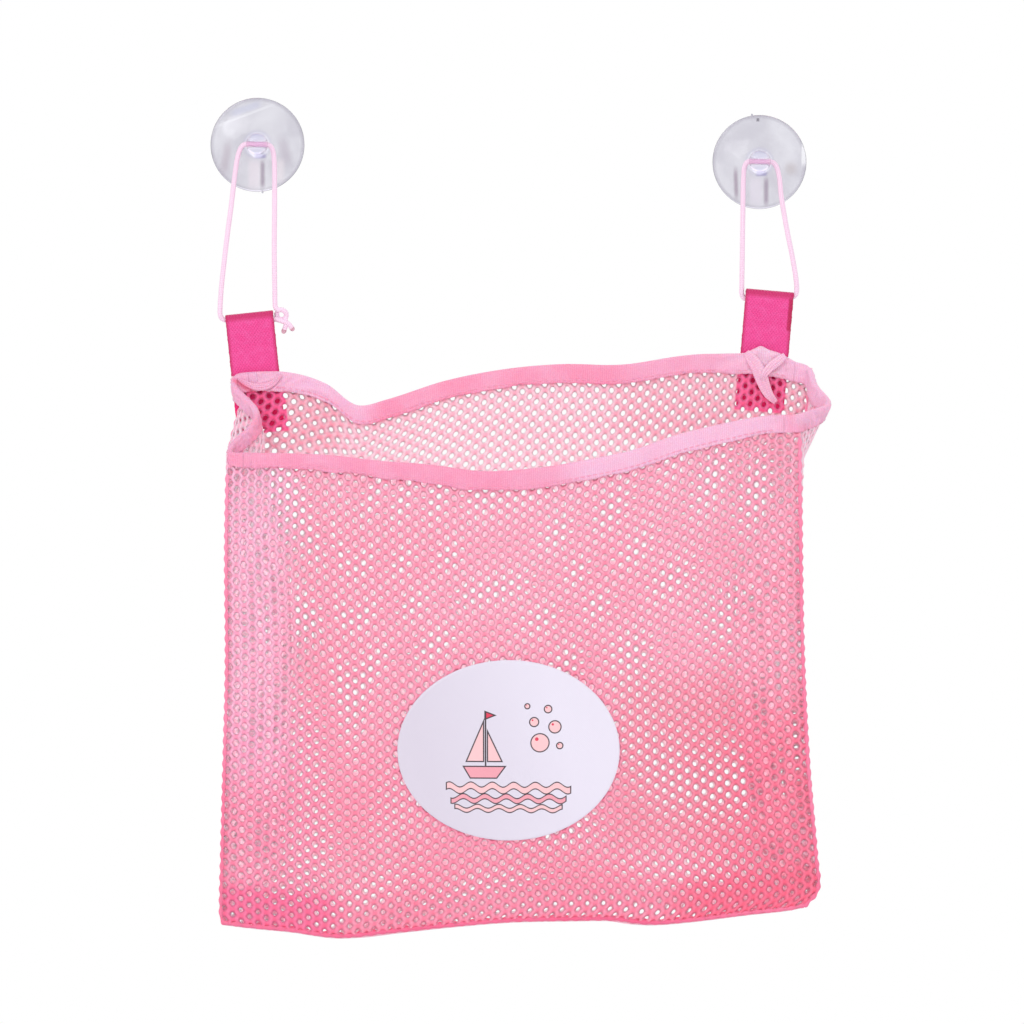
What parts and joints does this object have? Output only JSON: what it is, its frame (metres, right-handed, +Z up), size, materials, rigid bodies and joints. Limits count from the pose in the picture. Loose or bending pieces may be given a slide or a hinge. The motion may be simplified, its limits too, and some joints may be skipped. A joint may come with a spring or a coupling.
{
  "type": "bath toy organizer",
  "caption": "Boxed net bag with a taped open mouth and an oval label, hung by webbing tabs and cord loops from clear suction cups on a bathroom wall.",
  "frame": {"origin": "on the wall plane, midway between the centres of the two suction cups", "axes": "+Z up, +Y into the wall, +X to the right as seen from the front"},
  "size_m": [0.3185, 0.0569, 0.4289],
  "materials": {
    "clear_vinyl": "gloss",
    "pale_cord": "matte",
    "fuchsia_webbing": "matte",
    "fuchsia_thread": "matte",
    "pink_net": "matte",
    "pink_tape": "satin",
    "pink_thread": "satin",
    "white_satin": "satin"
  },
  "bodies": {
    "wall_cups": {"suction_cup_left": "clear_vinyl", "suction_cup_right": "clear_vinyl"},
    "left_loop": {"cord_loop_left": "pale_cord"},
    "right_loop": {"cord_loop_right": "pale_cord"},
    "bag": {"webbing_tab_left": "fuchsia_webbing", "webbing_tab_right": "fuchsia_webbing", "tab_stitching_left": "fuchsia_thread", "tab_stitching_right": "fuchsia_thread", "back_panel": "pink_net", "gusset_left": "pink_net", "gusset_right": "pink_net", "base_panel": "pink_net", "back_binding": "pink_tape", "side_binding_left": "pink_tape", "side_binding_right": "pink_tape", "back_binding_stitching": "pink_thread"},
    "bag_front": {"front_panel": "pink_net", "front_binding": "pink_tape", "front_binding_stitching": "pink_thread", "label_patch": "white_satin"}
  },
  "joints": [
    {"name": "left_loop_swing", "type": "hinge", "parent": "wall_cups", "child": "left_loop", "pos_m": [-0.1283, -0.012, 0.0044], "axis": [-0.9994, 0, 0.0343], "range_deg": [0, 90]},
    {"name": "right_loop_swing", "type": "hinge", "parent": "wall_cups", "child": "right_loop", "pos_m": [0.1283, -0.012, -0.0044], "axis": [-0.9994, 0, 0.0343], "range_deg": [0, 90]},
    {"name": "bag_tilt", "type": "hinge", "parent": "left_loop", "child": "bag", "pos_m": [-0.1323, -0.0039, -0.0848], "axis": [-0.9992, 0, -0.0399], "range_deg": [0, 90]},
    {"name": "mouth_open", "type": "hinge", "parent": "bag", "child": "bag_front", "pos_m": [0, -0.0341, -0.4012], "axis": [1, 0, 0], "range_deg": [0, 8]}
  ],
  "couplings": [
    {"joint": "right_loop_swing", "follows": "left_loop_swing", "ratio": 1}
  ]
}
